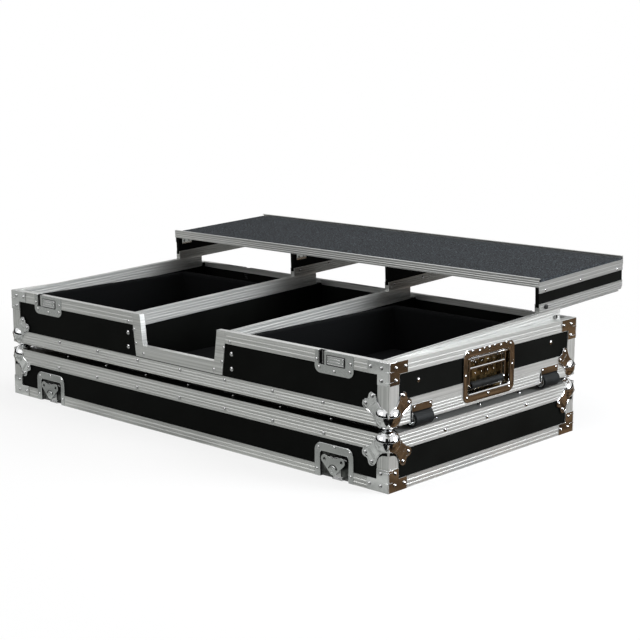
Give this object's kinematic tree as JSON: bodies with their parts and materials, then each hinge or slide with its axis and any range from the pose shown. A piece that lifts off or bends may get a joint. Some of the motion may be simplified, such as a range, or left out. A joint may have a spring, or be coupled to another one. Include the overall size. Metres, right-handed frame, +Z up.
{
  "type": "disc jockey coffin case",
  "caption": "Shallow touring case for turntables and a mixer, its lid turned over as a stand and a laptop shelf gliding on sloping rails.",
  "frame": {"origin": "centre of the whole object's box, on the floor", "axes": "+X to the right along the front, +Y to the back, +Z up; the mixer cut-out faces -Y"},
  "size_m": [1.168, 0.8202, 0.3527],
  "materials": {
    "laminate": "plywood with a black textured laminate skin",
    "aluminium": "extruded, ribbed, satin",
    "chrome": "polished plate on pressed steel",
    "zinc": "bright zinc plate on pressed steel",
    "steel": "bright nickel plate",
    "rubber": "matte black",
    "foam": "black foam faced with felt",
    "carpet": "dark grey needle-felt carpet"
  },
  "bodies": {
    "lid": {"lid_top_panel": "laminate", "lid_front_wall": "laminate", "lid_rear_wall": "laminate", "lid_right_wall": "laminate", "lid_left_wall": "laminate", "lid_edge_frame": "aluminium", "lid_ball_corner_front_left": "chrome", "lid_ball_corner_front_right": "chrome", "lid_ball_corner_rear_right": "chrome", "lid_ball_corner_rear_left": "chrome", "latch_dish_front_left": "zinc", "latch_dish_front_right": "zinc", "latch_dish_rear_right": "zinc", "latch_dish_rear_left": "zinc"},
    "base": {"base_floor_panel": "laminate", "base_front_wall": "laminate", "base_rear_wall": "laminate", "base_right_wall": "laminate", "base_left_wall": "laminate", "base_edge_frame": "aluminium", "cutout_trim": "aluminium", "mixer_partition_left": "laminate", "mixer_partition_right": "laminate", "base_lining": "foam", "base_ball_corner_front_left": "chrome", "base_ball_corner_front_right": "chrome", "base_ball_corner_rear_right": "chrome", "base_ball_corner_rear_left": "chrome", "keeper_front_left": "zinc", "keeper_front_right": "zinc", "keeper_rear_right": "zinc", "keeper_rear_left": "zinc", "handle_dish_right": "chrome", "handle_dish_left": "chrome", "wheel_bracket_front": "chrome", "wheel_bracket_rear": "chrome", "glide_rail_outer_left": "aluminium", "glide_rail_inner_left": "aluminium", "glide_rail_inner_right": "aluminium", "glide_rail_outer_right": "aluminium"},
    "shelf": {"shelf_board": "carpet", "shelf_edge_frame": "aluminium", "shelf_leg_outer_left": "laminate", "shelf_leg_inner_left": "laminate", "shelf_leg_inner_right": "laminate", "shelf_leg_outer_right": "laminate"},
    "wheel_front": {"edge_wheel_front": "rubber"},
    "wheel_rear": {"edge_wheel_rear": "rubber"},
    "handle_right": {"handle_bail_right": "chrome", "handle_grip_right": "rubber"},
    "handle_left": {"handle_bail_left": "chrome", "handle_grip_left": "rubber"},
    "latch_wing_front_left": {"latch_wing_front_left": "zinc"},
    "latch_hook_front_left": {"latch_hook_front_left": "steel"},
    "latch_wing_front_right": {"latch_wing_front_right": "zinc"},
    "latch_hook_front_right": {"latch_hook_front_right": "steel"},
    "latch_wing_rear_right": {"latch_wing_rear_right": "zinc"},
    "latch_hook_rear_right": {"latch_hook_rear_right": "steel"},
    "latch_wing_rear_left": {"latch_wing_rear_left": "zinc"},
    "latch_hook_rear_left": {"latch_hook_rear_left": "steel"}
  },
  "joints": [
    {"name": "base_lift", "type": "slide", "parent": "lid", "child": "base", "axis": [0, 0, 1], "range_m": [0, 0.2]},
    {"name": "shelf_glide", "type": "slide", "parent": "base", "child": "shelf", "axis": [0, 0.9991, 0.0418], "range_m": [-0.45, 0]},
    {"name": "wheel_front_spin", "type": "hinge", "parent": "base", "child": "wheel_front", "pos_m": [0.569, -0.30839, 0.1275], "axis": [0, 1, 0], "continuous": true},
    {"name": "wheel_rear_spin", "type": "hinge", "parent": "base", "child": "wheel_rear", "pos_m": [0.569, 0.10822, 0.1275], "axis": [0, 1, 0], "continuous": true},
    {"name": "handle_right_swing", "type": "hinge", "parent": "base", "child": "handle_right", "pos_m": [0.568, -0.10008, 0.2136], "axis": [0, -1, 0], "range_deg": [0, 90], "stiffness_Nm_per_rad": 0.3},
    {"name": "handle_left_swing", "type": "hinge", "parent": "base", "child": "handle_left", "pos_m": [-0.571, -0.10008, 0.2136], "axis": [0, 1, 0], "range_deg": [0, 90], "stiffness_Nm_per_rad": 0.3},
    {"name": "latch_front_left_turn", "type": "hinge", "parent": "lid", "child": "latch_wing_front_left", "pos_m": [-0.4403, -0.40238, 0.018], "axis": [0, -1, 0], "range_deg": [0, 180]},
    {"name": "latch_front_left_hook", "type": "slide", "parent": "lid", "child": "latch_hook_front_left", "axis": [0, 0, -1], "range_m": [0, 0.008]},
    {"name": "latch_front_right_turn", "type": "hinge", "parent": "lid", "child": "latch_wing_front_right", "pos_m": [0.4373, -0.40238, 0.018], "axis": [0, -1, 0], "range_deg": [0, 180]},
    {"name": "latch_front_right_hook", "type": "slide", "parent": "lid", "child": "latch_hook_front_right", "axis": [0, 0, -1], "range_m": [0, 0.008]},
    {"name": "latch_rear_right_turn", "type": "hinge", "parent": "lid", "child": "latch_wing_rear_right", "pos_m": [0.4373, 0.20222, 0.018], "axis": [0, 1, 0], "range_deg": [0, 180]},
    {"name": "latch_rear_right_hook", "type": "slide", "parent": "lid", "child": "latch_hook_rear_right", "axis": [0, 0, -1], "range_m": [0, 0.008]},
    {"name": "latch_rear_left_turn", "type": "hinge", "parent": "lid", "child": "latch_wing_rear_left", "pos_m": [-0.4403, 0.20222, 0.018], "axis": [0, 1, 0], "range_deg": [0, 180]},
    {"name": "latch_rear_left_hook", "type": "slide", "parent": "lid", "child": "latch_hook_rear_left", "axis": [0, 0, -1], "range_m": [0, 0.008]}
  ],
  "couplings": [
    {"joint": "latch_front_left_hook", "follows": "latch_front_left_turn", "m_per_rad": 0.0025464},
    {"joint": "latch_front_right_hook", "follows": "latch_front_right_turn", "m_per_rad": 0.0025464},
    {"joint": "latch_rear_right_hook", "follows": "latch_rear_right_turn", "m_per_rad": 0.0025464},
    {"joint": "latch_rear_left_hook", "follows": "latch_rear_left_turn", "m_per_rad": 0.0025464}
  ]
}
